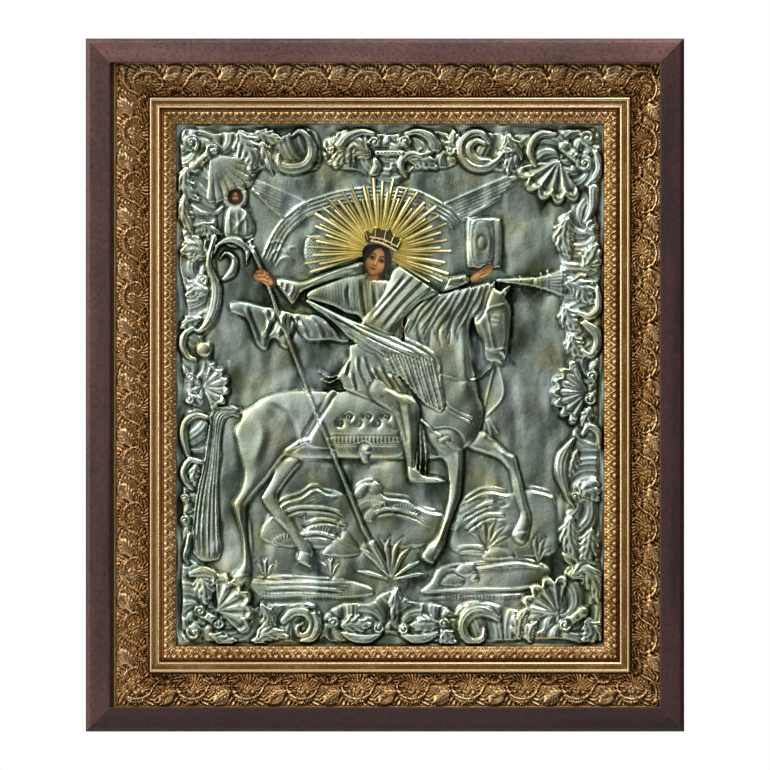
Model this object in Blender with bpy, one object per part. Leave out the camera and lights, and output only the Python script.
"""Wall icon: an embossed metal cover over a wooden board, in a gilt moulding and a dark wooden outer frame.

The piece stands upright as it hangs: +Z up, front towards -Y, wall plane at y = 0. The origin is on the
rear face of the outer frame's top rail, at mid width, where the icon hangs on its wall.
"""
import math

import bmesh
import bpy
import numpy as np
from mathutils import Matrix, Vector

# Driving sizes in metres
COVER_SIGHT_WIDTH = 0.358
COVER_SIGHT_HEIGHT = 0.437
COVER_TUCK = 0.005
COVER_BASE = 0.0012
BOARD_THICKNESS = 0.015
BOARD_REAR = -0.002
GILT_WIDTH = 0.0558
GILT_RISE = 0.0196
GILT_COVERED = 0.0056
GILT_LIP_WIDTH = 0.0065
GILT_SHIFT = 0.0042
WOOD_FACE_WIDTH = 0.0205
WOOD_LIP_THICKNESS = 0.0057
WOOD_CHAMFER = 0.003
WOOD_EDGE = 0.001
CLEARANCE = 0.0003
CARVED_CLEARANCE = 0.0009
REBATE_CLEARANCE = 0.0005
HALO_THICKNESS = 0.0016
HALO_RAY_RISE = 0.0042
HALO_RAYS = 54
CROWN_RISE = 0.0035

# Mesh densities
COVER_STEP = 0.0022
COVER_TRIANGLES = 4700
GILT_STEP = 0.0035
GILT_TRIANGLES = 900
VINE_STEP = 1.2

# The relief is drawn on a sheet of 428 by 522.5 units, whose sight edges have these places
DRAWN_LEFT = 176.0
DRAWN_TOP = 122.5
DRAWN_WIDTH = 428.0
DRAWN_HEIGHT = 522.5

# Sizes that follow
SHOWN_GILT = GILT_WIDTH - GILT_COVERED
WOOD_SIGHT_WIDTH = COVER_SIGHT_WIDTH + 2 * SHOWN_GILT
WOOD_SIGHT_HEIGHT = COVER_SIGHT_HEIGHT + 2 * SHOWN_GILT
OUTER_WIDTH = WOOD_SIGHT_WIDTH + 2 * WOOD_FACE_WIDTH
OUTER_HEIGHT = WOOD_SIGHT_HEIGHT + 2 * WOOD_FACE_WIDTH
GILT_OUTER_WIDTH = COVER_SIGHT_WIDTH + 2 * GILT_WIDTH
GILT_OUTER_HEIGHT = COVER_SIGHT_HEIGHT + 2 * GILT_WIDTH
COVER_WIDTH = COVER_SIGHT_WIDTH + 2 * COVER_TUCK
COVER_HEIGHT = COVER_SIGHT_HEIGHT + 2 * COVER_TUCK
BOARD_FRONT = BOARD_REAR - BOARD_THICKNESS
COVER_BACK = BOARD_FRONT - CLEARANCE
COVER_FIELD = COVER_BACK - COVER_BASE
LIP_REAR = COVER_FIELD - CARVED_CLEARANCE
WOOD_LIP_REAR = LIP_REAR - GILT_RISE - CLEARANCE
WOOD_FRONT = WOOD_LIP_REAR - WOOD_LIP_THICKNESS
WOOD_WALL = (OUTER_WIDTH - GILT_OUTER_WIDTH) / 2 - GILT_SHIFT - REBATE_CLEARANCE
MIDDLE_Z = WOOD_WALL / 2 - OUTER_HEIGHT / 2
UNIT = COVER_SIGHT_WIDTH / DRAWN_WIDTH
MILLIMETRE = 0.001

# Relief sizes: millimetres of height, drawing units across
CHASED_WIDTH = 1.3
DEEPEST = -0.6
PLAIN_EDGE = 3.0
HALO_SEAT = 2.4
HALO_CENTRE = (378.0, 250.0)
HALO_REACH = 73.0
HALO_INNER = 16.0
HALO_TOP_INSET = 6.0
HALO_START = 163.0
HALO_SWEEP = 227.0
HALO_VALLEY = 0.62
HALO_LENGTHS = (0.97, 0.86, 1.0, 0.9, 0.94, 0.82, 0.98, 0.88, 0.93)
LANCE_LEVEL = 4.2
LANCE_RADIUS = 2.2
MEDALLION_CENTRE = (235.0, 195.4)
RAINBOW_CENTRE = (370.0, 300.0)

# The moulding's front on a rail 55.8 mm wide: millimetres from its outer edge, and in front of its lip's rear
PROFILE_WIDTH = 0.0558
PROFILE_RISE = 0.0196
GILT_PROFILE = (
    (0, 15.9), (3.6, 17.1), (4.8, 17.8), (6.2, 16.7), (7.5, 16.3), (10, 16.1), (13, 15.7), (16, 15.1),
    (19, 14.3), (22, 13.3), (25, 12.1), (28, 10.7), (31, 9.5), (33.6, 9.2), (35.2, 11.4), (36.9, 9.0),
    (39.9, 8.8), (41.3, 10.7), (42.8, 8.0), (44.3, 6.4), (46, 7.5), (48, 7.3), (51, 6.1), (55.8, 3.3),
)
VINE_START = 6.2
VINE_WIDTH = 27.0
VINE_PERIOD = 92.0

# Outlines and paths of the drawing, in its own units, x to the right and y down

# The horse
TAIL = (
    (241, 409), (233, 404), (223, 404), (214, 407), (209.5, 420), (206.5, 447), (200, 475), (195.5,
     497), (192, 519), (191, 540), (193, 555), (206, 562), (219, 558), (222, 546), (220, 535), (217.5,
     519), (216, 502), (217.5, 480), (222, 458), (221, 442), (221, 424), (228, 415), (240, 417),
)
FAR_HIND_LEG = (
    (300, 452), (302, 461), (292, 474), (283, 486), (277.7, 496), (281, 506), (289, 516.5), (297.5,
     527.5), (306, 538.5), (312, 545), (313.5, 555), (312, 568), (303, 565), (296, 560), (298.5, 551.5),
     (295, 545), (291, 537.5), (282, 526.5), (272, 515.5), (263.5, 504.5), (260, 497), (263.5, 489),
     (270, 478), (280, 458),
)
FAR_FORELEG = (
    (470, 436), (481, 429), (495, 438.5), (508, 449.5), (515.7, 455), (519, 466), (523.5, 483.5), (527,
     499), (531, 512), (532, 521), (529.5, 531), (524.5, 543), (516, 541), (511.5, 533), (515.7, 525),
     (520, 514), (517, 503.5), (512.5, 488), (509, 472.5), (504.5, 464), (497, 458.5), (484, 453), (468,
     447),
)
TRUNK = (
    (240, 417), (241, 409), (251, 404), (262, 396), (280, 390), (306, 388), (340, 389), (380, 384),
     (410, 372), (440, 372), (462, 380), (481, 398), (484, 414), (481, 429), (471, 444), (452, 455),
     (430, 459), (390, 459), (340, 459), (302, 459), (284, 456), (262, 460), (240, 446), (233, 430),
)
NEAR_HIND_LEG = (
    (238, 418), (250, 404), (270, 400), (290, 410), (300, 430), (299, 448), (284, 460.5), (275.5,
     470.5), (267, 481.5), (259, 491), (251.5, 500), (248, 507), (247.5, 516.5), (248.5, 530), (250.5,
     546), (252.5, 562.5), (251.5, 573.5), (244, 586), (233, 583), (229.5, 573), (239, 562.5), (240,
     546), (238, 532), (234, 519), (230.5, 507), (231, 500), (238, 488), (241, 475), (239, 462), (235,
     447), (233.5, 431),
)
NECK = (
    (402, 345), (403, 318), (410, 303), (431, 295.5), (450, 291), (472, 284), (491, 279), (500, 300),
     (484.5, 311.5), (475.5, 315.5), (472.5, 328), (473.3, 342), (475.3, 362), (478.5, 378), (481, 397),
     (482, 414), (478, 434), (466, 448), (444, 456), (426, 442), (416, 405), (404, 372),
)
HEAD = (
    (480, 304), (490, 286), (503, 290), (508, 298), (512, 305), (512.5, 321.5), (510.5, 342), (507.5,
     355), (502, 364), (494.5, 362.5), (488, 361), (483, 355.5), (482, 342), (476.5, 332), (472.8,
     321.5), (474.5, 312),
)
NEAR_FORELEG = (
    (428, 430), (450, 425), (464, 436), (465, 455), (464, 476), (462, 495), (456, 511), (450.5, 528),
     (445.5, 544), (439.5, 556), (433, 565), (423, 561), (420, 553.5), (427, 543), (435, 536), (441,
     521.5), (445, 505), (447, 491), (446, 470.5), (442, 460), (432, 448),
)
EARS = (
    ((485, 296), (488, 286), (495, 278), (495.5, 288), (492, 297)),
    ((497, 296), (503, 286), (512.5, 283), (509, 292), (503, 299)),
)
TAIL_STRANDS = (
    ((236, 409), (222, 409), (216, 430), (211, 460), (203, 490), (197, 525), (198, 556)),
    ((238, 412), (226, 412), (219, 430), (217, 460), (209, 490), (204, 525), (205, 559)),
    ((232, 406), (217, 407), (212, 425), (208, 455), (199, 485), (194, 520), (193, 548)),
    ((224, 414), (219, 440), (217, 470), (212, 500), (210, 530), (212, 558)),
    ((219, 480), (214, 500), (214, 525), (217, 540), (218, 556)),
)
MANE = (
    ((489, 284), (486, 298), (482, 308), (477, 318), (470, 330)),
    ((482, 284), (478, 298), (470, 310), (465, 322), (462, 336)),
    ((474, 285), (468, 299), (460, 312), (453, 324), (452, 338)),
    ((465, 287), (457, 300), (448, 312), (441, 324), (442, 340)),
    ((456, 289), (446, 301), (438, 311), (430, 322), (430, 341)),
    ((446, 292), (435, 302), (427, 312), (420, 324), (421, 342)),
    ((436, 294), (424, 303), (416, 314), (411, 326), (412, 344)),
    ((426, 297), (414, 306), (408, 318), (405, 330), (405, 345)),
    ((478, 285), (473, 299), (465, 310), (459, 322), (456, 334)),
    ((460, 288), (452, 300), (443, 311), (436, 322), (436, 338)),
    ((441, 293), (430, 302), (421, 312), (415, 324), (416, 342)),
)

# The rider
CLOAK_TAIL = (
    (229, 301), (241.5, 298.6), (258.7, 303), (276, 306), (297, 310.6), (316, 311.5), (330, 318), (352,
     330), (348, 342), (329.5, 340), (314, 340.7), (304.6, 339), (297, 330.7), (291, 316), (289, 346),
     (279.7, 345), (277, 340), (272, 338), (267, 348), (261.6, 348.8), (255, 343), (251, 330.7), (245,
     318), (230, 310.6),
)
TUNIC = (
    (349, 343), (348, 355.5), (341, 366), (336, 376), (340, 381), (343, 388), (355, 393), (371, 400),
     (389, 407.5), (400, 400), (408, 393), (400, 375), (382, 350), (365, 343),
)
SADDLE_CLOTH = (
    (336, 389), (330, 402), (318, 418), (304, 436), (310, 446), (334, 450), (336, 457), (397, 457),
     (403, 440), (398, 412), (388, 398), (372, 392),
)
CHEST = (
    (362, 265), (340, 275), (317, 289), (317, 298), (330, 305), (346, 313), (358, 316), (364, 330),
     (372, 345), (388, 352), (402, 340), (404, 310), (400, 290), (389, 278), (378, 276),
)
LEFT_ARM = (
    (362, 257), (345, 262), (325, 268), (300, 276), (279, 278), (275, 285), (280, 292), (290, 296),
     (300, 294), (312, 297), (324, 300), (338, 302), (352, 300), (366, 284),
)
CLOAK = (
    (392, 268), (405, 262), (425, 266), (441.5, 274), (446, 282), (440, 292), (420, 302), (404, 318),
     (394, 336), (392, 352), (380, 352), (366, 344), (358, 330), (362, 318), (378, 300), (386, 284),
)
RIGHT_ARM = (
    (436, 275), (452, 274), (466, 272.5), (470, 281), (458, 287), (445, 291), (436, 290),
)
LEG = (
    (376, 376), (395, 388), (412, 395), (419, 402), (421, 411), (419, 424), (418, 440), (416, 455),
     (415, 472), (409, 479), (407, 470), (405, 458), (401, 440), (396, 422), (390, 411), (376, 402),
     (368, 390),
)
BOOT = (
    (407, 466), (415, 466), (424, 473), (438, 475), (447, 480), (440, 483), (423, 483), (409, 481),
)
WING = (
    (306, 297), (325.5, 305), (349.5, 316), (373.5, 326), (401, 338), (421, 347), (434, 356), (440,
     367.5), (439, 378), (443, 393), (446, 404), (441, 411.5), (431.5, 408), (422.5, 402), (413, 391.5),
     (406, 382), (398, 375), (388, 371.5), (381.5, 363), (375, 355), (364, 350), (347.5, 337), (330,
     320), (306, 302),
)
LANCE = (
    (250.6, 246), (265, 277), (306.5, 385), (320.5, 420), (347, 487), (364.5, 529),
)
CLOAK_FOLDS = (
    ((243, 302), (249, 318), (254, 331), (259, 345)),
    ((262, 305), (268, 320), (262, 340)),
    ((276, 308), (270, 322), (262.5, 334)),
    ((283, 309), (281, 325), (276, 337)),
    ((289.5, 311), (302.7, 327), (307, 337)),
    ((305, 313), (318, 327), (322, 338)),
    ((322, 318), (332, 328), (340, 339)),
    ((296, 312), (292, 325), (286, 342)),
)
CLOAK_LINES = (
    ((441, 275), (424, 290), (404, 308), (384, 334)),
    ((430, 271), (414, 286), (396, 305), (376, 330)),
    ((418, 268), (404, 282), (388, 300), (368, 324)),
    ((406, 268), (396, 282), (382, 298), (364, 318)),
)
TUNIC_FOLDS = (
    ((348, 357), (344, 375)),
    ((350, 371), (355, 390)),
    ((355.5, 354), (358, 371), (366, 385)),
    ((362, 353), (368, 371), (378, 389)),
    ((371, 366), (384, 388)),
    ((378, 364), (394, 391)),
    ((388, 372), (402, 392)),
)
WING_ARM_FEATHERS = (
    ((309, 299), (345, 320), (378, 338), (410, 352)),
    ((330, 312), (360, 328), (392, 344), (424, 358)),
    ((352, 321), (385, 334), (415, 348), (434, 362)),
    ((345, 327), (368, 342), (390, 356)),
)
LONG_FEATHERS = (
    ((432, 358), (437, 380), (443, 406)),
    ((425, 356), (431, 380), (439, 409)),
    ((418, 355), (425, 380), (433, 406)),
    ((411, 354), (418, 378), (426, 402)),
    ((404, 354), (411, 374), (419, 396)),
    ((397, 354), (404, 370), (411, 387)),
    ((390, 353), (396, 365), (403, 378)),
    ((383, 352), (388, 360), (394, 371)),
)
# Socket and blade at the foot of the lance, each a path with its half widths
LANCE_HEAD = (
    (((364, 528), (368, 536), (372, 543)), (3.4, 2.6, 3.6)),
    (((372, 543), (377, 552), (382, 563)), (4.6, 4, 0.8)),
)

# The sky
RAINBOW = (
    (261, 260), (275, 229), (289.5, 212.5), (304, 202), (320, 196), (341, 190), (372, 186), (400, 187),
     (422.5, 192.5), (450, 207), (465, 221),
)
BOOK = (
    (467, 219), (472, 216), (496, 216), (502, 222), (502, 262), (497, 267), (472, 267), (467, 262),
)
TRUMPET_TUBE = (
    (498, 279), (520, 280), (544, 281),
)
TRUMPET_BELL = (
    (548, 281), (560, 281),
)
MEDALLION_ROBE = (
    (223, 222), (226, 208), (235, 204), (246, 208), (255, 224), (252, 236), (236, 240), (224, 236),
)
BEAMS = (
    ((251, 177), (308.7, 202)),
    ((252, 188), (290, 214)),
    ((444.5, 201.5), (510, 174)),
    ((463, 219), (501.5, 195)),
)

# The ground
HILLS = (
    ((264, 520), (281, 499), (300, 492), (309.5, 485), (317, 483.5), (326, 489), (342, 490), (360, 500),
     (372, 520), (360, 545), (300, 548), (262, 540)),
    ((351, 497), (356, 486), (364, 480), (372, 479), (381, 489), (386, 493), (407, 496), (417, 503),
     (436, 509), (446, 516), (440, 540), (400, 548), (364, 530)),
    ((455, 520), (461, 499), (484, 487), (510, 491), (528, 488), (532, 486), (550, 491), (557, 503),
     (556, 552), (500, 556), (452, 550)),
    ((430, 580), (442, 564), (480, 562), (517, 557), (550, 565), (548, 580), (520, 592), (450, 596),
     (420, 592)),
    ((250, 585), (256, 577), (300, 576), (340, 577), (372, 586), (366, 597), (300, 598), (262, 597)),
)
RIDGES = (
    ((264, 520), (281, 499), (300, 492), (309.5, 485), (317, 483.5), (326, 489), (342, 490)),
    ((351, 497), (356, 486), (364, 480), (372, 479), (381, 489), (386, 493), (407, 496), (417, 503),
     (436, 509), (446, 505)),
    ((461, 499), (484, 487), (510, 491)),
    ((528, 488), (532, 486), (550, 491), (556, 501)),
    ((282, 512), (300, 506), (330, 508), (346, 516)),
    ((300, 524), (322, 518), (348, 524)),
    ((290, 536), (316, 532), (340, 538)),
    ((460, 516), (484, 503), (510, 500)),
    ((464, 528), (486, 514), (506, 514)),
    ((372, 512), (390, 508), (414, 514), (430, 524)),
    ((442, 564), (480, 562), (517, 557), (550, 565)),
    ((256, 577), (300, 576), (340, 577)),
    ((262, 588), (300, 587), (346, 590)),
    ((420, 592), (470, 589), (520, 588), (548, 580)),
    ((455, 548), (470, 545), (500, 549)),
)
# The foot of each plant and the tips of its blades
PLANTS = (
    ((391, 579), ((358, 546), (366, 540), (380, 536), (391, 534), (403, 536), (412, 545), (422, 560),
     (356, 570), (430, 572))),
    ((487, 548), ((468, 530), (476, 523), (487, 518), (498, 518), (506, 525), (512, 534))),
    ((538, 562), ((530, 540), (538, 533), (547, 536), (552, 546))),
    ((266, 577), ((256, 562), (262, 557), (268, 556), (275, 562))),
    ((331, 577), ((320, 560), (327, 555), (334, 555), (340, 562))),
    ((306, 528), ((299, 516), (306, 512), (313, 516))),
    ((340, 536), ((332, 522), (340, 518), (348, 524))),
)
# Outline and height of each stone
ROCKS = (
    (((454, 572), (462, 562), (474, 562), (478, 572), (466, 577)), 3),
    (((440, 584), (450, 572), (466, 578), (460, 586)), 2.6),
    (((470, 580), (472, 573), (478, 572), (480, 579), (475, 582)), 3),
    (((482, 558), (490, 547), (508, 547), (515, 556), (500, 560)), 2.4),
    (((320, 554), (332, 540), (344, 528), (354, 538), (360, 553), (340, 557)), 2.4),
    (((458, 509), (470, 500), (484, 496), (482, 503), (464, 514)), 1.6),
    (((486, 508), (498, 498), (508, 500), (496, 512)), 1.4),
    (((352, 495), (358, 485), (366, 481), (370, 488), (362, 498)), 1.8),
    (((368, 488), (374, 480), (381, 484), (382, 492), (372, 494)), 1.6),
)

# The ornament along the edges
# Low beds that join the ornament into one running border
BEDS = (
    ((181, 128), (213, 130), (240, 128), (262, 130), (282, 132), (300, 124), (316, 130), (322, 150),
     (318, 168), (286, 172), (262, 168), (250, 186), (220, 200), (216, 232), (196, 240), (181, 236),
     (180, 180)),
    ((183, 236), (212, 226), (216, 262), (221, 292), (219, 318), (204, 338), (213, 350), (205, 400),
     (190, 404), (182, 380), (180, 345), (186, 322), (183, 292), (178, 262)),
    ((322, 140), (338, 130), (362, 128), (387, 131), (412, 128), (440, 128), (452, 134), (458, 158),
     (450, 166), (430, 169), (414, 170), (402, 180), (388, 190), (374, 182), (360, 171), (340, 168),
     (324, 160)),
    ((458, 134), (475, 127), (495, 130), (515, 132), (540, 128), (575, 126), (599, 130), (602, 180),
     (597, 200), (600, 240), (600, 282), (575, 285), (560, 258), (556, 220), (572, 204), (560, 190),
     (534, 176), (515, 172), (495, 170), (470, 168), (457, 152)),
    ((600, 282), (600, 356), (598, 380), (600, 450), (599, 500), (600, 560), (570, 566), (560, 548),
     (566, 510), (560, 480), (562, 456), (572, 432), (580, 405), (582, 372), (570, 352), (566, 330),
     (562, 300), (572, 284)),
    ((600, 560), (600, 640), (560, 640), (520, 641), (480, 642), (458, 640), (452, 618), (462, 602),
     (485, 600), (515, 608), (540, 612), (560, 590), (566, 566)),
    ((326, 612), (345, 601), (370, 600), (384, 590), (398, 588), (412, 600), (436, 602), (456, 614),
     (458, 640), (420, 641), (390, 634), (360, 641), (330, 642), (320, 628)),
    ((182, 560), (206, 566), (216, 580), (214, 604), (240, 614), (262, 602), (285, 602), (302, 600),
     (320, 608), (322, 640), (270, 642), (210, 642), (182, 640), (180, 600)),
    ((182, 412), (206, 412), (208, 450), (203, 490), (192, 540), (188, 562), (181, 560), (181, 460)),
)
# Hub, radius, start angle, end angle and flutes of each scallop shell
SHELLS = (
    ((202, 386.5), 29, -78, 72, 6),
    ((586, 388.5), 37, 112, 248, 7),
    ((560, 158), 46, 58, 172, 5),
    ((216, 610), 40, -94, 44, 5),
    ((559, 613), 41, 168, 286, 5),
    ((206, 158), 52, 12, 84, 4),
)
# Rolled bands, each a path with its half widths
SCROLLS = (
    (((214, 236), (210, 250), (208, 264), (212, 274), (216, 288), (214, 306), (208, 320), (200, 329),
     (193, 328)), (3, 3.4, 4, 6, 6.4, 5, 2)),
    (((192, 327), (184, 333), (182, 345), (188, 355), (196, 358)), (2, 3.2, 3, 1.5)),
    (((208, 416), (196, 414), (185, 421), (183, 436), (188, 454)), (2, 3.2, 3.4, 2.4)),
    (((202, 461), (190, 459), (183, 470), (185, 480), (192, 488)), (2, 3, 3, 1.8)),
    (((189, 534), (187, 546), (184, 556), (188, 562)), (2.4, 2.6, 1.6)),
    (((223, 278), (232, 270), (234, 258), (226, 251), (220, 257)), (2.6, 5, 4, 2.5, 1.5)),
    (((246, 262), (247, 250), (240, 241), (229, 238), (218, 243), (214, 252)), (1.6, 3, 4.4, 4, 2.6,
     1.4)),
    (((340, 145), (348, 135), (361, 130), (373, 132)), (4.5, 4, 3, 2.5)),
    (((436, 145), (430, 135), (418, 130.5), (407, 132)), (4.5, 4, 3, 2.5)),
    (((375, 158), (377, 165), (373, 173), (371, 181)), (2.4, 3.8, 3.4, 2)),
    (((421, 154), (411, 152.5), (402.5, 158), (401, 166), (406, 175)), (2, 3, 3.6, 3, 1.8)),
    (((489, 141), (482, 131.5), (471, 131.5), (463, 140), (462, 152), (472, 163), (486, 165), (498,
     158), (503, 151)), (2, 3.2, 3.6, 4, 4.4, 4.6, 4.4, 3, 1.4)),
    (((485, 142), (477, 139), (470, 145), (471, 153), (479, 159), (490, 158)), (1.6, 2.8, 3.4, 3.4, 3,
     1.4)),
    (((532, 137), (522, 146), (523, 160), (534, 165)), (2.6, 3.6, 3.4, 1.6)),
    (((556, 132.5), (541, 132), (533, 140), (530, 153), (536, 164)), (1.8, 3.2, 3.6, 3.2, 1.6)),
    (((596, 150), (600, 165), (596, 176), (588, 184)), (2.4, 4, 4, 2)),
    (((594, 188), (593, 206), (586, 221)), (4.5, 3.6, 2)),
    (((598, 286), (599, 306), (589, 315), (577, 310)), (2, 3.6, 3.6, 1.8)),
    (((585, 322), (596, 331), (598, 343), (591, 354), (583, 349)), (3, 4.4, 4, 3.2, 1.6)),
    (((583, 433), (589, 425), (598, 431), (599.5, 446)), (2, 3, 3.2, 2)),
    (((573, 438), (563, 457), (562.5, 475), (568, 496), (574, 505)), (2, 5, 5, 3, 1.4)),
    (((498, 618), (484, 609.5), (471, 612), (463, 623), (465, 635), (473, 641), (483, 637), (484, 628)),
     (2.4, 4, 4.6, 4.6, 4, 3.6, 3, 1.6)),
    (((191, 573), (204, 570), (214, 575), (213, 583)), (3, 4.4, 3.6, 1.6)),
    (((372, 597), (378, 606), (376, 614), (367, 618)), (1.8, 3, 3, 1.6)),
    (((409, 597), (403, 606), (406, 614), (415, 618)), (1.8, 3, 3, 1.6)),
    (((343, 632), (353, 637), (368, 638), (380, 633)), (2, 4, 4, 2)),
    (((437, 632), (427, 637), (414, 638), (402, 634)), (2, 4, 4, 2)),
    (((278, 153), (281, 164), (293, 167), (306, 163), (312, 152), (309, 138), (300, 129), (292, 134)),
     (2, 4, 4.4, 4.4, 4, 3.4, 2.4, 1.4)),
    (((290, 139), (287, 131), (296, 126), (304, 128)), (1.4, 2.6, 2.4, 1.2)),
    (((283, 620), (293, 611), (306, 612), (312, 622), (308, 632), (299, 634), (297, 626), (303, 622)),
     (3, 3.6, 3.6, 3.4, 3, 2.6, 2.2, 1.5)),
    (((314, 612), (318, 624), (313, 637), (301, 640)), (2, 3.4, 3.4, 1.8)),
)
# Leaves, each a midrib, a half width and a number of lobes
LEAVES = (
    (((186, 168), (184, 180), (190, 192), (198, 198)), 6, 4),
    (((190, 176), (194, 190), (200, 203), (208, 208)), 7, 4),
    (((184, 196), (183, 210), (188, 222), (192, 232)), 5.5, 4),
    (((196, 206), (204, 216), (216, 221)), 6.5, 4),
    (((203, 222), (210, 230), (214, 244)), 5.5, 4),
    (((200, 240), (190, 234), (183, 224)), 5.5, 3),
    (((203, 252), (194, 248), (182, 250)), 9, 4),
    (((202, 272), (192, 270), (180, 276)), 8, 4),
    (((204, 290), (196, 288), (186, 294)), 7, 3),
    (((206, 300), (200, 302), (193, 308)), 6.5, 3),
    (((198, 318), (189, 320), (180, 327)), 5, 3),
    (((201, 420), (203, 434), (202, 449)), 5, 4),
    (((196, 464), (193, 474), (194, 484)), 4.5, 3),
    (((190, 488), (190, 510), (189, 528)), 3.5, 4),
    (((240, 134), (246, 144), (252, 156), (250, 168)), 9, 5),
    (((236, 136), (234, 148), (238, 160)), 6, 4),
    (((258, 130), (266, 134), (282, 138)), 5.5, 4),
    (((258, 138), (266, 150), (288, 153)), 8, 5),
    (((262, 142), (268, 158), (272, 172)), 4.5, 3),
    (((230, 130), (238, 130), (248, 134)), 4, 3),
    (((366, 150), (354, 144), (342, 152), (336, 164)), 9.5, 5),
    (((366, 160), (354, 160), (346, 167)), 7, 4),
    (((334.5, 141), (341, 134), (347, 128)), 4.2, 3),
    (((413, 146), (426, 142), (438, 150), (446, 162)), 9.5, 5),
    (((412, 158), (424, 158), (436, 166)), 7, 4),
    (((432, 142), (440, 134), (444, 128)), 4.2, 3),
    (((452, 146), (454, 136), (453, 128)), 5, 4),
    (((387, 158), (387, 172), (386, 188)), 6.5, 3),
    (((508, 136), (512, 150), (508, 170)), 7.5, 5),
    (((516, 138), (506, 136), (497, 140)), 5, 4),
    (((514, 150), (504, 152), (498, 160)), 5, 4),
    (((577, 214), (576, 234), (580, 252)), 7.5, 4),
    (((566, 220), (564, 238), (570, 256)), 7, 5),
    (((562, 218), (559, 222), (560, 228)), 4.5, 2),
    (((586, 264), (592, 256), (597, 244)), 8.5, 3),
    (((580, 275), (590, 277), (600, 274)), 7.5, 4),
    (((570, 282), (580, 286), (592, 300)), 9, 5),
    (((566, 286), (566, 300), (574, 312)), 7, 4),
    (((566, 308), (570, 318), (580, 328)), 7, 4),
    (((574, 324), (580, 336), (592, 342)), 7.5, 4),
    (((572, 336), (576, 346), (584, 354)), 7, 4),
    (((588, 362), (583, 364), (580, 372)), 5, 3),
    (((590, 408), (586, 416), (582, 424)), 5, 3),
    (((590, 430), (591, 442), (588, 452)), 4.5, 4),
    (((576, 452), (572, 462), (570, 474)), 5, 4),
    (((574, 484), (582, 472), (594, 466)), 9, 5),
    (((582, 496), (590, 490), (598, 498)), 8.5, 4),
    (((578, 508), (590, 512), (598, 526)), 8, 5),
    (((570, 520), (570, 538), (578, 560)), 7, 6),
    (((562, 530), (562, 544), (570, 558)), 6, 5),
    (((590, 532), (588, 548), (582, 566)), 7, 5),
    (((598, 530), (597, 552), (590, 572)), 4.5, 5),
    (((574, 574), (586, 570), (596, 584), (598, 600)), 8, 5),
    (((517, 634), (508, 622), (502, 603)), 5.5, 4),
    (((519, 636), (521, 620), (528, 608)), 6, 4),
    (((515, 637), (504, 636), (492, 639)), 5, 4),
    (((530, 640), (530, 630), (536, 622)), 5, 3),
    (((540, 640), (552, 636), (562, 640)), 4, 4),
    (((588, 622), (592, 632), (584, 639)), 8, 5),
    (((187, 582), (189, 596), (187, 612)), 5.5, 5),
    (((200, 576), (204, 588), (206, 602)), 7, 4),
    (((252, 600), (256, 616), (252, 638)), 6.5, 4),
    (((262, 604), (268, 618), (262, 634), (252, 640)), 5, 4),
    (((281, 602), (276, 612), (268, 626)), 5.5, 4),
    (((256, 640), (270, 632), (287, 636)), 6, 4),
    (((232, 640), (244, 636), (250, 628)), 5, 3),
    (((212, 634), (224, 640), (236, 640)), 4.5, 3),
    (((342, 614), (352, 608), (368, 606)), 8, 5),
    (((344, 624), (356, 624), (370, 624)), 7, 4),
    (((438, 614), (428, 608), (412, 606)), 8, 5),
    (((436, 624), (424, 624), (412, 624)), 7, 4),
    (((334, 630), (332, 638), (324, 641)), 5.5, 4),
    (((444, 630), (448, 638), (456, 641)), 6.5, 4),
    (((384, 588), (386, 602), (388, 618)), 4.5, 2),
    (((397, 588), (395, 602), (392, 618)), 4.5, 2),
    (((390.5, 586), (390.5, 602), (390.5, 618)), 4, 2),
)
# Centre, radius, turns, start angle and winding of each volute
VOLUTES = (
    (213, 147.5, 9.5, 1.2, 120, 1),
    (191, 141, 9.5, 0.9, 60, -1),
    (202, 278, 6.5, 1.3, 60, -1),
    (190, 375.5, 6, 1.2, 200, 1),
    (190, 397.5, 6, 1.2, 160, -1),
    (184.5, 497, 6, 1.2, 20, -1),
    (184.5, 519, 6.5, 1.2, 20, -1),
    (374.7, 141.2, 7.5, 1.3, 180, 1),
    (404.5, 140.5, 8, 1.3, 0, -1),
    (331, 147.5, 6, 1.2, 200, -1),
    (450, 149, 6, 1.2, 340, 1),
    (585, 162, 9.5, 1.4, 200, -1),
    (587.5, 135.5, 9, 1.1, 200, 1),
    (592, 226, 8, 0.9, 270, -1),
    (592, 375, 7, 1.2, 340, -1),
    (590, 398.5, 7, 1.2, 20, 1),
    (575.4, 495, 6, 1.2, 30, -1),
    (565, 624.5, 7.5, 1.3, 30, 1),
    (199.7, 610.5, 7, 1.3, 180, 1),
    (218.5, 622.6, 6.5, 1.2, 0, 1),
    (194, 631.5, 9.5, 1, 200, -1),
    (334.5, 621.7, 7, 1.3, 200, 1),
    (443.5, 622.6, 7, 1.3, 340, -1),
    (378.4, 627.4, 6.5, 1.2, 20, 1),
    (404, 628.4, 6.5, 1.2, 160, -1),
)
# Short rolls between two volutes: both ends and a radius
ROLLS = (
    ((199, 161), (208, 152), 5.5),
    ((569, 150), (579, 158), 6),
    ((203, 613), (215, 620), 5.5),
    ((569, 621), (579, 614), 6),
)
# Round bosses: centre and radius
BALLS = (
    (194, 165, 7.5),
    (204, 348.5, 9),
    (565, 144.7, 7.5),
    (583, 611, 7),
)

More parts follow.
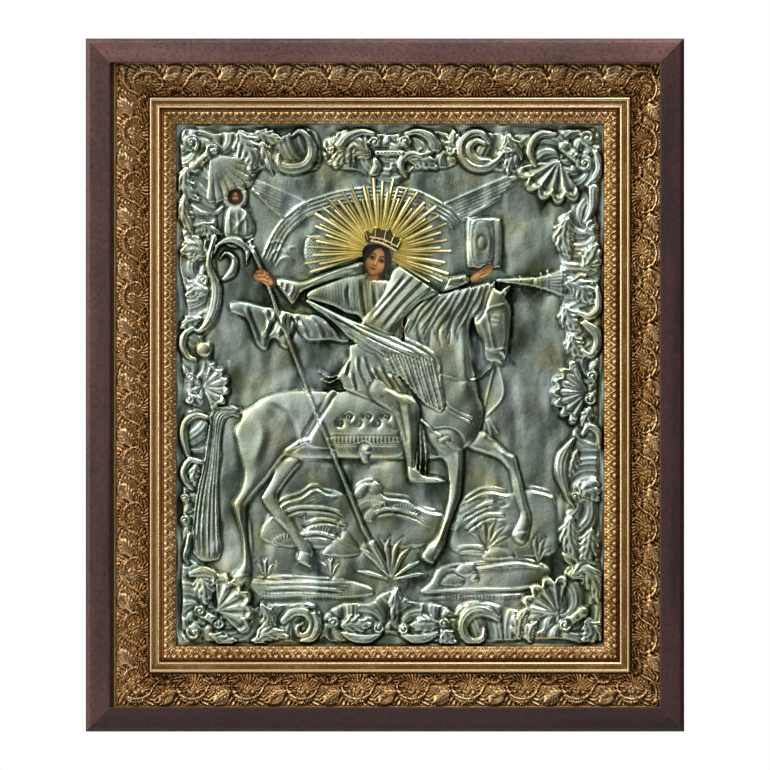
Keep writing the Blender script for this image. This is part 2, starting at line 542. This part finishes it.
# The cut-outs that the painting shows through, and the crown on the halo
WINDOWS = {
    "face_window": ((364, 262), (363, 252), (368, 245), (378, 243), (388, 246), (391, 256), (389, 266),
     (384, 272), (382, 278), (368, 278), (368, 271)),
    "left_hand_window": ((253, 273), (257, 268), (266, 269), (275, 275), (276, 283), (270, 286), (262,
     281), (255, 279)),
    "right_hand_window": ((470.5, 276), (476, 270), (484, 264), (492, 262), (494, 266), (490, 272),
     (482, 277), (473, 281)),
    "medallion_window": ((243, 195.4), (240.7, 201), (235, 203.4), (229.3, 201), (227, 195.4), (229.3,
     189.8), (235, 187.4), (240.7, 189.8)),
}
CROWN = (
    (366, 240), (365, 229), (371, 232), (376, 226), (384, 229), (390, 228), (394, 235), (401, 238),
     (397, 250), (384, 244), (372, 241),
)

# One repeat of the moulding's vine, in millimetres along the rail and across the band
# Rolled bands
VINE_SCROLLS = (
    (((-44, 25), (-34, 18), (-28, 9), (-18, 6), (-9, 9), (-6, 17), (-12, 22), (-18, 19)), (1.2, 2.2,
     2.4, 2.4, 2.2, 2, 1.6, 1.2)),
    (((2, 24), (12, 19), (18, 9), (28, 6), (37, 9), (40, 17), (34, 22), (28, 19)), (1.2, 2.2, 2.4, 2.4,
     2.2, 2, 1.6, 1.2)),
)
# Leaves
VINE_LEAVES = (
    (((-4, 12), (2, 9), (10, 3)), 4.5, 3),
    (((42, 12), (48, 9), (56, 3)), 4.5, 3),
    (((-6, 22), (2, 23), (9, 26)), 3.5, 3),
    (((40, 22), (48, 23), (55, 26)), 3.5, 3),
    (((-26, 16), (-30, 22), (-38, 26)), 3.5, 3),
    (((20, 16), (16, 22), (8, 26)), 3.5, 3),
)


def smooth(points, closed=False, per=5):
    """Points along a Catmull-Rom curve through the given ones."""
    p = np.asarray(points, float)
    if len(p) < 3:
        share = np.linspace(0, 1, per + 1)[:, None]
        return p[0] * (1 - share) + p[-1] * share
    if closed:
        p = np.vstack([p[-1], p, p[0], p[1]])
    else:
        p = np.vstack([2 * p[0] - p[1], p, 2 * p[-1] - p[-2]])
    t = np.linspace(0, 1, per, endpoint=False)[:, None]
    pieces = []
    for a, b, c, d in zip(p[:-3], p[1:-2], p[2:-1], p[3:]):
        cubic = 2 * b + (c - a) * t + (2 * a - 5 * b + 4 * c - d) * t**2 + (3 * b - a - 3 * c + d) * t**3
        pieces.append(0.5 * cubic)
    curve = np.vstack(pieces)
    return curve if closed else np.vstack([curve, p[-2]])


def ease(share):
    """A smooth step from 0 to 1."""
    share = np.clip(share, 0, 1)
    return share * share * (3 - 2 * share)


class Sheet:
    """Heights over a rectangle of drawing units, in millimetres above the sheet, that forms are set into."""

    def __init__(self, left, top, right, bottom, columns, rows):
        self.xs = np.linspace(left, right, columns)
        self.ys = np.linspace(top, bottom, rows)
        self.step = np.array([self.xs[1] - self.xs[0], self.ys[1] - self.ys[0]])
        self.x, self.y = np.meshgrid(self.xs, self.ys)
        self.height = np.zeros_like(self.x)

    def window(self, low, high):
        """The rows and columns that cover a box."""
        corner = np.array([self.xs[0], self.ys[0]])
        most = np.array([len(self.xs), len(self.ys)])
        first = np.clip((np.asarray(low) - corner) / self.step, 0, most).astype(int)
        last = np.clip((np.asarray(high) - corner) / self.step + 2, 0, most).astype(int)
        return slice(first[1], last[1]), slice(first[0], last[0])

    def near(self, path, reach):
        """Distance to a path, share of the way along it, and signed distance, in the window around it."""
        path = np.asarray(path, float)
        whole = self.window(path.min(0) - reach, path.max(0) + reach)
        x, y = self.x[whole], self.y[whole]
        distance = np.full(x.shape, 1000.0)
        along = np.zeros(x.shape)
        side = np.zeros(x.shape)
        lengths = np.maximum(np.hypot(*np.diff(path, axis=0).T), 1e-9)
        run = 0.0
        for a, b, length in zip(path[:-1], path[1:], lengths):
            rows, columns = self.window(np.minimum(a, b) - reach, np.maximum(a, b) + reach)
            part = (slice(rows.start - whole[0].start, rows.stop - whole[0].start),
                    slice(columns.start - whole[1].start, columns.stop - whole[1].start))
            dx, dy = x[part] - a[0], y[part] - a[1]
            ux, uy = (b - a) / length
            t = np.clip(dx * ux + dy * uy, 0, length)
            d = np.hypot(dx - t * ux, dy - t * uy)
            closer = d < distance[part]
            distance[part] = np.where(closer, d, distance[part])
            along[part] = np.where(closer, (run + t) / lengths.sum(), along[part])
            side[part] = np.where(closer, np.sign(ux * dy - uy * dx) * d, side[part])
            run += length
        return whole, distance, along, side

    def inside(self, outline, whole):
        """Which points of the window lie in a closed outline."""
        x, y = self.x[whole], self.y[whole]
        odd = np.zeros(x.shape, bool)
        for a, b in zip(outline, np.roll(outline, -1, axis=0)):
            if a[1] != b[1]:
                edge = (b[0] - a[0]) * (y - a[1]) / (b[1] - a[1]) + a[0]
                odd ^= ((a[1] > y) != (b[1] > y)) & (x < edge)
        return odd

    def settle(self, whole, depth, mask, target, rim, chase):
        """Sets a form in: its own height inside, a rise over its rim and a chased line around it."""
        here = self.height[whole]
        share = ease(depth / rim)
        raised = np.where(mask, here * (1 - share) + target * share, here)
        self.height[whole] = raised - chase * np.exp(-((depth / CHASED_WIDTH) ** 2))

    def form(self, outline, level, height, shoulder, rim=1.6, chase=0.35):
        """A rounded form inside an outline."""
        outline = smooth(outline, closed=True)
        whole, distance, _, _ = self.near(np.vstack([outline, outline[:1]]), max(shoulder, 4) + 1)
        inwards = 1 - np.clip(distance / shoulder, 0, 1)
        target = level + height * np.sqrt(1 - inwards**2)
        self.settle(whole, distance, self.inside(outline, whole), target, rim, chase)

    def lay(self, outline, thickness, rim=1.2, chase=0.2):
        """A cloth laid over what is there."""
        outline = smooth(outline, closed=True)
        whole, distance, _, _ = self.near(np.vstack([outline, outline[:1]]), 4)
        lift = np.where(self.inside(outline, whole), thickness * ease(distance / rim), 0)
        self.height[whole] += lift - chase * np.exp(-((distance / CHASED_WIDTH) ** 2))

    def stroke(self, path, radii, level, height, rim=1.4, chase=0.3, curved=True, channel=0.0):
        """A rounded band along a path, with its own half width at each stage, hollowed by a channel."""
        path = smooth(path) if curved else np.asarray(path, float)
        radii = np.atleast_1d(np.asarray(radii, float))
        whole, distance, along, _ = self.near(path, radii.max() + 3)
        radius = np.interp(along, np.linspace(0, 1, len(radii)), radii)
        share = np.clip(distance / radius, 0, 1)
        target = level + height * (np.sqrt(1 - share**2) - channel * np.exp(-((share / 0.45) ** 2)))
        self.settle(whole, np.abs(radius - distance), distance < radius, target, rim, chase)

    def line(self, path, width, rise, taper=0.25):
        """A fold or vein added to what is there: a ridge, or with a negative rise a groove."""
        whole, distance, along, _ = self.near(smooth(path), 3 * width)
        ends = ease(np.minimum(along, 1 - along) / taper)
        self.height[whole] += rise * np.exp(-((distance / width) ** 2)) * ends

    def knob(self, centre, radius, level, height):
        """A round boss."""
        x, y = centre
        self.stroke([(x, y), (x + 0.1, y)], [radius], level, height)

    def volute(self, centre, radius, turns, start, side, level, height):
        """A scroll that winds in to a small ball."""
        share = np.linspace(0, 1, int(10 * turns) + 5)
        angle = np.radians(start) + side * share * turns * math.tau
        reach = 0.8 * radius * 0.28**share
        path = np.c_[centre[0] + reach * np.cos(angle), centre[1] + reach * np.sin(angle)]
        self.knob(centre, radius, level - 0.8, height * 0.4)
        self.stroke(path, radius * np.array([0.3, 0.26, 0.2]), level, height, curved=False)
        self.knob(centre, radius * 0.3, level, height)

    def leaf(self, path, width, lobes, level, height):
        """A leaf along its midrib, with a lobed edge and a cut midrib."""
        whole, distance, along, _ = self.near(smooth(path), width + 4)
        swell = np.sin(math.pi * np.clip(along, 0.02, 0.98)) ** 0.75
        lobe = 1 - 0.13 * (1 + np.cos(math.tau * lobes * (along + 0.22 * distance / width)))
        reach = np.maximum(width * swell * lobe, 0.4)
        share = np.clip(distance / reach, 0, 1)
        target = level + height * (np.sqrt(1 - share**2) - 0.28 * np.exp(-((distance / 1.1) ** 2)))
        self.settle(whole, np.abs(reach - distance), distance < reach, target, 1.3, 0.35)

    def shell(self, hub, radius, start, end, flutes, level, height):
        """A scallop shell whose flutes fan out from the hub."""
        hub = np.asarray(hub, float)
        whole = self.window(hub - radius - 4, hub + radius + 4)
        x, y = self.x[whole] - hub[0], self.y[whole] - hub[1]
        distance = np.hypot(x, y)
        turn = (np.degrees(np.arctan2(y, x)) - start) % 360
        turn = np.where(turn > (360 + end - start) / 2, turn - 360, turn)
        share = turn / (end - start)
        flute = np.abs(np.sin(math.pi * np.clip(share, 0, 1) * flutes))
        reach = radius * (0.86 + 0.14 * flute**0.7)
        edge = np.minimum(share, 1 - share) * np.radians(end - start) * distance
        depth = np.minimum(reach - distance, edge)
        out = np.clip(distance / reach, 0, 1)
        target = level + height * (0.25 + 0.75 * out**0.8) * (0.6 + 0.4 * np.sqrt(flute))
        target -= 0.27 * height * ease((out - 0.8) / 0.2)
        self.settle(whole, np.abs(depth), depth > 0, target, 1.8, 0.4)


def draw_ground(sheet):
    for hill in HILLS:
        sheet.form(hill, 0.1, 1.3, 12, rim=4, chase=0.15)
    for path in RIDGES:
        sheet.line(path, 1.7, 1.1)
    for outline, height in ROCKS:
        sheet.form(outline, 0.8, height, 5)
    for hub, tips in PLANTS:
        for tip in tips:
            length = math.dist(hub, tip)
            sheet.stroke([hub, tip], [length * 0.06 + 0.6, length * 0.08 + 0.6, 0.5], 1.2, 1.9)


def draw_sky(sheet):
    bow = smooth(RAINBOW)
    inwards = bow - np.array(RAINBOW_CENTRE)
    inwards /= np.hypot(*inwards.T)[:, None]
    for inset in (0, 5, 10):
        sheet.line(bow - inwards * inset, 1.8, 1.1, taper=0.05)
    for beam in BEAMS:
        sheet.line(beam, 1.5, 0.9, taper=0.01)
    sheet.form(BOOK, 1.6, 1.2, 3)
    sheet.stroke(TRUMPET_TUBE, [2.6, 4.5, 7.5], 1.2, 2.6)
    sheet.stroke(TRUMPET_BELL, [12, 14], 1.8, 3.4, curved=False)
    sheet.form(MEDALLION_ROBE, 0.8, 2.0, 6)
    sheet.knob(MEDALLION_CENTRE, 13, 1.2, 1.4)


def draw_border(sheet):
    for bed in BEDS:
        sheet.form(bed, 0.6, 2.2, 4, rim=2.5)
    for hub, radius, start, end, flutes in SHELLS:
        sheet.shell(hub, radius, start, end, flutes, 2.2, 3.8)
    for path, width, lobes in LEAVES:
        sheet.leaf(path, width, lobes, 2.6, 2.6)
    for path, radii in SCROLLS:
        sheet.stroke(path, radii, 2.8, 3.2, channel=0.5)
    for a, b, radius in ROLLS:
        sheet.stroke([a, b], [radius], 3.0, 3.4, curved=False)
    for x, y, radius, turns, start, side in VOLUTES:
        sheet.volute((x, y), radius, turns, start, side, 3.2, 3.0)
    for x, y, radius in BALLS:
        sheet.knob((x, y), radius, 3.6, 3.2)


def draw_horse(sheet):
    sheet.form(TAIL, 0.8, 2.6, 9)
    for path in TAIL_STRANDS:
        sheet.line(path, 1.5, 1.3)
    sheet.form(FAR_HIND_LEG, 1.0, 3.0, 8)
    sheet.form(FAR_FORELEG, 1.0, 3.2, 8)
    sheet.form(TRUNK, 1.5, 5.2, 27)
    sheet.form(NEAR_HIND_LEG, 2.4, 4.4, 20, rim=5, chase=0.0)
    sheet.form(NECK, 2.2, 4.6, 24, rim=4, chase=0.1)
    sheet.form(NEAR_FORELEG, 2.4, 4.0, 11, rim=3, chase=0.1)
    for ear in EARS:
        sheet.form(ear, 4.5, 2.4, 4)
    sheet.form(HEAD, 3.4, 4.4, 12)
    for path in MANE:
        sheet.stroke(path, [2.2, 3.4, 3.2, 1.6], 5.6, 2.0)


def draw_rider(sheet):
    sheet.lay(SADDLE_CLOTH, 1.0)
    sheet.form(CLOAK_TAIL, 1.0, 3.2, 8)
    for path in CLOAK_FOLDS:
        sheet.line(path, 2.0, 1.7)
    sheet.form(TUNIC, 5.8, 2.4, 8)
    for path in TUNIC_FOLDS:
        sheet.line(path, 1.6, 1.5)
    sheet.form(LEG, 5.6, 3.4, 9)
    sheet.form(BOOT, 6.0, 2.4, 5)
    sheet.form(LEFT_ARM, 3.0, 3.6, 9)
    sheet.form(CHEST, 5.0, 3.4, 13)
    sheet.form(RIGHT_ARM, 3.4, 3.2, 8)
    sheet.form(CLOAK, 5.8, 3.4, 11)
    for path in CLOAK_LINES:
        sheet.line(path, 2.3, 1.5)
    sheet.form(WING, 6.2, 3.0, 9)
    for path in WING_ARM_FEATHERS:
        sheet.line(path, 1.5, 0.9)
    for path in LONG_FEATHERS:
        sheet.stroke(path, [3.0, 3.2, 2.4], 7.2, 1.6)


def draw_lance(sheet):
    """The shaft lies over everything it crosses."""
    whole, distance, _, _ = sheet.near(LANCE, LANCE_RADIUS + 2)
    share = np.clip(distance / LANCE_RADIUS, 0, 1)
    here = sheet.height[whole]
    shaft = np.maximum(here, LANCE_LEVEL) + LANCE_RADIUS * 0.7 * np.sqrt(1 - share**2)
    sheet.height[whole] = np.where(share < 1, shaft, here)
    for path, radii in LANCE_HEAD:
        sheet.stroke(path, radii, 1.5, 2.8)


def flatten_seat(sheet):
    """A flat seat that the ray halo lies on, and a plain edge all round."""
    x, y = sheet.x - HALO_CENTRE[0], sheet.y - HALO_CENTRE[1]
    turn = (np.degrees(np.arctan2(y, x)) - HALO_START) % 360
    reach = np.hypot(x, y)
    under = (reach < HALO_REACH + 3) & (turn < HALO_SWEEP + 4) | (reach < HALO_INNER + 2)
    sheet.height = np.where(under, np.minimum(sheet.height, HALO_SEAT), sheet.height)
    from_edge = np.minimum.reduce([sheet.x - DRAWN_LEFT, DRAWN_LEFT + DRAWN_WIDTH - sheet.x,
                                   sheet.y - DRAWN_TOP, DRAWN_TOP + DRAWN_HEIGHT - sheet.y])
    sheet.height = np.maximum(sheet.height, DEEPEST) * ease(from_edge / PLAIN_EDGE)


def draw_cover():
    """The whole relief of the cover as a sheet of heights."""
    tuck = COVER_TUCK / UNIT
    sheet = Sheet(DRAWN_LEFT - tuck, DRAWN_TOP - tuck, DRAWN_LEFT + DRAWN_WIDTH + tuck,
                  DRAWN_TOP + DRAWN_HEIGHT + tuck, 1 + round(COVER_WIDTH / COVER_STEP),
                  1 + round(COVER_HEIGHT / COVER_STEP))
    draw_sky(sheet)
    draw_ground(sheet)
    draw_border(sheet)
    draw_horse(sheet)
    draw_rider(sheet)
    draw_lance(sheet)
    flatten_seat(sheet)
    return sheet


def drawn(x, y, depth):
    """The place in metres of a point of the drawing, at a depth."""
    across = (x - DRAWN_LEFT - DRAWN_WIDTH / 2) * UNIT
    up = (DRAWN_TOP + DRAWN_HEIGHT / 2 - y) * COVER_SIGHT_HEIGHT / DRAWN_HEIGHT
    return Vector((GILT_SHIFT + across, depth, MIDDLE_Z + up))


def finish_material(name, color, roughness, metallic):
    material = bpy.data.materials.new(name)
    material.use_nodes = True
    shader = material.node_tree.nodes["Principled BSDF"]
    shader.inputs["Base Color"].default_value = (*color, 1)
    shader.inputs["Roughness"].default_value = roughness
    shader.inputs["Metallic"].default_value = metallic
    return material


def add_object(name, bm, material, crease=40):
    """Makes an object of a closed mesh, with its faces turned outwards."""
    bmesh.ops.recalc_face_normals(bm, faces=bm.faces[:])
    mesh = bpy.data.meshes.new(name)
    bm.to_mesh(mesh)
    bm.free()
    mesh.shade_smooth()
    mesh.set_sharp_from_angle(angle=math.radians(crease))
    mesh.materials.append(material)
    item = bpy.data.objects.new(name, mesh)
    bpy.context.scene.collection.objects.link(item)
    return item


def thin_out(item, triangles):
    """Leaves triangles only where the relief needs them."""
    item.data.calc_loop_triangles()
    decimate = item.modifiers.new("few faces", "DECIMATE")
    decimate.ratio = min(1.0, triangles / len(item.data.loop_triangles))


def window_cutter(name, outline):
    """A prism through the cover, in the outline of one of its cut-outs."""
    bm = bmesh.new()
    rim = [bm.verts.new(drawn(x, y, COVER_BACK + COVER_BASE)) for x, y in smooth(outline, closed=True, per=2)]
    bm.faces.new(rim)
    deep = bmesh.ops.extrude_face_region(bm, geom=bm.faces[:])
    moved = [v for v in deep["geom"] if isinstance(v, bmesh.types.BMVert)]
    bmesh.ops.translate(bm, verts=moved, vec=(0, WOOD_FRONT - COVER_BACK, 0))
    cutter = add_object(name, bm, finish_material(name, (0.5, 0.1, 0.1), 0.5, 0))
    cutter.hide_render = True
    cutter.display_type = "WIRE"
    return cutter


def build_cover():
    sheet = draw_cover()
    rows, columns = sheet.height.shape
    bm = bmesh.new()
    bmesh.ops.create_grid(bm, x_segments=columns - 1, y_segments=rows - 1, size=0.5)
    front = bm.verts[:]
    back = bmesh.ops.extrude_face_region(bm, geom=bm.faces[:], use_keep_orig=True)
    for v in [*front, *back["geom"]]:
        if isinstance(v, bmesh.types.BMVert):
            column = round((v.co.x + 0.5) * (columns - 1))
            row = round((0.5 - v.co.y) * (rows - 1))
            v.co = drawn(sheet.xs[column], sheet.ys[row], COVER_BACK)
            v.index = row * columns + column
    for v in front:
        v.co.y = COVER_FIELD - sheet.height.flat[v.index] * MILLIMETRE
    silver = finish_material("silver", (0.42, 0.45, 0.42), 0.35, 1)
    cover = add_object("silver_cover", bm, silver)
    thin_out(cover, COVER_TRIANGLES)
    for name, outline in WINDOWS.items():
        cut = cover.modifiers.new(name, "BOOLEAN")
        cut.operation = "DIFFERENCE"
        cut.solver = "EXACT"
        cut.use_self = True
        cut.object = window_cutter(name, outline)
    return cover


def build_board():
    """The wooden board that carries the painting, filling the moulding's rebate behind the cover."""
    bm = bmesh.new()
    bmesh.ops.create_cube(bm, size=1)
    bmesh.ops.scale(bm, verts=bm.verts, vec=(COVER_WIDTH, BOARD_THICKNESS, COVER_HEIGHT))
    middle = (GILT_SHIFT, BOARD_REAR - BOARD_THICKNESS / 2, MIDDLE_Z)
    bmesh.ops.translate(bm, verts=bm.verts, vec=middle)
    return add_object("icon_board", bm, finish_material("board wood", (0.36, 0.23, 0.13), 0.7, 0))


def mitred_rail(name, ring, stations, half_length, half_height, side, shift, material):
    """A length of moulding for one side of a frame, mitred at both ends.

    The ring is the moulding's section as pairs of distance from the outer edge and depth for a place along
    the rail, so that carving can vary along it.
    """
    count = len(ring(0.0))
    bm = bmesh.new()
    bmesh.ops.create_grid(bm, x_segments=stations, y_segments=count, size=0.5)
    for v in bm.verts:
        share = round((v.co.x + 0.5) * stations) / stations
        corner = round((v.co.y + 0.5) * count) % count
        place = (share - 0.5) * 2 * half_length
        inset, depth = ring(place)[corner]
        reach = half_length - inset - CLEARANCE
        v.co = (reach * (2 * share - 1), depth, half_height - inset)
    bmesh.ops.remove_doubles(bm, verts=bm.verts[:], dist=1e-7)
    bmesh.ops.holes_fill(bm, edges=[e for e in bm.edges if e.is_boundary], sides=0)
    turn = {"top": 0, "right": 1, "bottom": 2, "left": 3}[side] * math.pi / 2
    bmesh.ops.rotate(bm, verts=bm.verts[:], cent=(0, 0, 0), matrix=Matrix.Rotation(turn, 3, "Y"))
    bmesh.ops.translate(bm, verts=bm.verts[:], vec=(shift, 0, MIDDLE_Z))
    return add_object(name, bm, material, crease=25)


def rail_reach(side, width, height):
    """Half length of a rail and half the frame's size across it."""
    return (width / 2, height / 2) if side in ("top", "bottom") else (height / 2, width / 2)


def wood_ring(_place):
    """Section of the outer frame: a flat face with a chamfered outer edge and a lip over the inner frame."""
    return [(0, 0), (0, WOOD_FRONT + WOOD_CHAMFER), (WOOD_CHAMFER, WOOD_FRONT),
            (WOOD_FACE_WIDTH - WOOD_EDGE, WOOD_FRONT), (WOOD_FACE_WIDTH, WOOD_FRONT + WOOD_EDGE),
            (WOOD_FACE_WIDTH, WOOD_LIP_REAR), (WOOD_WALL, WOOD_LIP_REAR), (WOOD_WALL, 0)]


def carve_vine(half_length):
    """The running vine of the moulding's wide band, as heights over the band.

    The drawing runs along the rail, with 0 at its middle, and across the band from its outer edge.
    """
    along = half_length / MILLIMETRE
    sheet = Sheet(-along, 0, along, VINE_WIDTH, 1 + round(2 * along / VINE_STEP),
                  1 + round(VINE_WIDTH / VINE_STEP))
    scrolls = math.ceil(along / VINE_PERIOD) + 1
    for number in range(-scrolls, scrolls + 1):
        for path, radii in VINE_SCROLLS:
            moved = [(x + number * VINE_PERIOD, y) for x, y in path]
            sheet.stroke(moved, radii, 0.6, 2.2)
        for path, width, lobes in VINE_LEAVES:
            moved = [(x + number * VINE_PERIOD, y) for x, y in path]
            sheet.leaf(moved, width, lobes, 0.5, 2.2)
    return sheet


def gilt_section(half_length):
    """The gilt moulding's section at each place along a rail, with the vine carved into its wide band."""
    vine = carve_vine(half_length)
    widen = GILT_WIDTH / PROFILE_WIDTH
    deepen = GILT_RISE / PROFILE_RISE

    def ring(place):
        column = int(np.argmin(np.abs(vine.xs - place / MILLIMETRE)))
        front = []
        for inset, rise in GILT_PROFILE:
            across = inset - VINE_START
            if 0 < across < VINE_WIDTH:
                row = int(np.argmin(np.abs(vine.ys - across)))
                rise += vine.height[row, column]
            front.append((inset * MILLIMETRE * widen, LIP_REAR - rise * MILLIMETRE * deepen))
        rebate = GILT_WIDTH - GILT_LIP_WIDTH
        rear = [(GILT_WIDTH, LIP_REAR), (rebate, LIP_REAR), (rebate, BOARD_REAR), (0, BOARD_REAR)]
        return front + rear

    return ring


def build_frames():
    wood = finish_material("stained wood", (0.11, 0.05, 0.05), 0.45, 0)
    gilt = finish_material("gilding", (0.55, 0.36, 0.13), 0.35, 1)
    for side in ("top", "right", "bottom", "left"):
        length, height = rail_reach(side, OUTER_WIDTH, OUTER_HEIGHT)
        mitred_rail("outer_frame_" + side, wood_ring, 1, length, height, side, 0, wood)
        length, height = rail_reach(side, GILT_OUTER_WIDTH, GILT_OUTER_HEIGHT)
        rail = mitred_rail("gilt_frame_" + side, gilt_section(length), round(2 * length / GILT_STEP),
                           length, height, side, GILT_SHIFT, gilt)
        thin_out(rail, GILT_TRIANGLES)


def halo_ray(number):
    """Angle and reach of one ray of the halo."""
    turn = math.radians(HALO_START + HALO_SWEEP * number / (HALO_RAYS - 1))
    return turn, HALO_REACH * HALO_LENGTHS[number % len(HALO_LENGTHS)]


def build_halo():
    """The gilt ray halo, a fan of ridged rays on a plate, with the crown raised on it."""
    seat = COVER_FIELD - HALO_SEAT * MILLIMETRE - CLEARANCE
    places = 2 * round(HALO_RAYS) - 2
    bm = bmesh.new()
    bmesh.ops.create_grid(bm, x_segments=places, y_segments=1, size=0.5)
    front = bm.verts[:]
    back = bmesh.ops.extrude_face_region(bm, geom=bm.faces[:], use_keep_orig=True)
    for v in [*front, *back["geom"]]:
        if isinstance(v, bmesh.types.BMVert):
            place = round((v.co.x + 0.5) * places)
            turn, reach = halo_ray(place // 2)
            if place % 2:
                turn += math.radians(HALO_SWEEP / (HALO_RAYS - 1)) / 2
                reach *= HALO_VALLEY
            if v.co.y < 0:
                reach = HALO_INNER - HALO_TOP_INSET * max(0.0, -math.sin(turn))
            x, y = HALO_CENTRE
            v.co = drawn(x + reach * math.cos(turn), y + reach * math.sin(turn), seat)
            v.index = place
    for v in front:
        v.co.y -= HALO_THICKNESS if v.index % 2 else HALO_RAY_RISE
    gilt = finish_material("halo gilding", (0.9, 0.72, 0.2), 0.3, 1)
    halo = add_object("ray_halo", bm, gilt, crease=10)
    crown = bmesh.new()
    crown.faces.new([crown.verts.new(drawn(x, y, seat)) for x, y in CROWN])
    raised = bmesh.ops.extrude_face_region(crown, geom=crown.faces[:])
    moved = [v for v in raised["geom"] if isinstance(v, bmesh.types.BMVert)]
    bmesh.ops.translate(crown, verts=moved, vec=(0, -HALO_RAY_RISE - CROWN_RISE, 0))
    piece = add_object("crown_part", crown, gilt)
    piece.hide_render = True
    piece.display_type = "WIRE"
    join = halo.modifiers.new("crown", "BOOLEAN")
    join.operation = "UNION"
    join.solver = "EXACT"
    join.object = piece
    return halo


def main():
    for item in list(bpy.data.objects):
        bpy.data.objects.remove(item, do_unlink=True)
    build_frames()
    build_board()
    build_cover()
    build_halo()


main()
